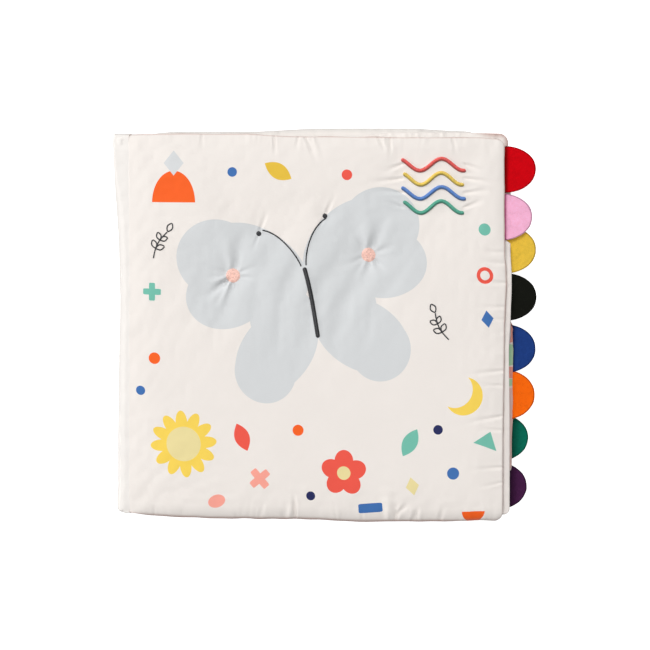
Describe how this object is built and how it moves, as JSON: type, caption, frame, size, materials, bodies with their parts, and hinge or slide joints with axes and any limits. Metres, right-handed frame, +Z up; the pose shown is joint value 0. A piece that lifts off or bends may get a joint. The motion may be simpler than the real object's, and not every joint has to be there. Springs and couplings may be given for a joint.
{
  "type": "cloth book",
  "caption": "Soft padded square cloth book for a baby, lying on its back cover, with felt half-moon tabs along the fore-edge and hinged covers.",
  "frame": {"origin": "middle of the back cover's underside, half way from the hinge line to the fore-edge", "axes": "+X from the spine to the fore-edge and its tabs, +Y along the book's height to its head, +Z up through the front cover"},
  "size_m": [0.331, 0.3045, 0.0425],
  "materials": {
    "cover_cotton": "fine plain-weave cotton, cream, matt with a faint sheen, printed and embroidered",
    "leaf_cotton": "fine plain-weave cotton, cream, matt",
    "felt_red": "bright red wool felt, dense, fuzzy surface, cut edge",
    "felt_pink": "light pink wool felt, dense, fuzzy surface, cut edge",
    "felt_yellow": "mustard yellow wool felt, dense, fuzzy surface, cut edge",
    "felt_black": "black wool felt, dense, fuzzy surface, cut edge",
    "felt_blue": "royal blue wool felt, dense, fuzzy surface, cut edge",
    "felt_orange": "orange wool felt, dense, fuzzy surface, cut edge",
    "felt_green": "dark green wool felt, dense, fuzzy surface, cut edge",
    "felt_purple": "dark purple wool felt, dense, fuzzy surface, cut edge"
  },
  "bodies": {
    "back_cover": {"back_cover": "cover_cotton"},
    "page_block": {"pages": "leaf_cotton", "spine": "cover_cotton", "tab_red": "felt_red", "tab_pink": "felt_pink", "tab_yellow": "felt_yellow", "tab_black": "felt_black", "tab_blue": "felt_blue", "tab_orange": "felt_orange", "tab_green": "felt_green", "tab_purple": "felt_purple"},
    "front_cover": {"front_cover": "cover_cotton"}
  },
  "joints": [
    {"name": "back_cover_hinge", "type": "hinge", "parent": "back_cover", "child": "page_block", "pos_m": [-0.1555, 0, 0.02125], "axis": [0, -1, 0], "range_deg": [0, 179]},
    {"name": "front_cover_hinge", "type": "hinge", "parent": "page_block", "child": "front_cover", "pos_m": [-0.148, 0, 0.0425], "axis": [0, -1, 0], "range_deg": [0, 179]}
  ]
}
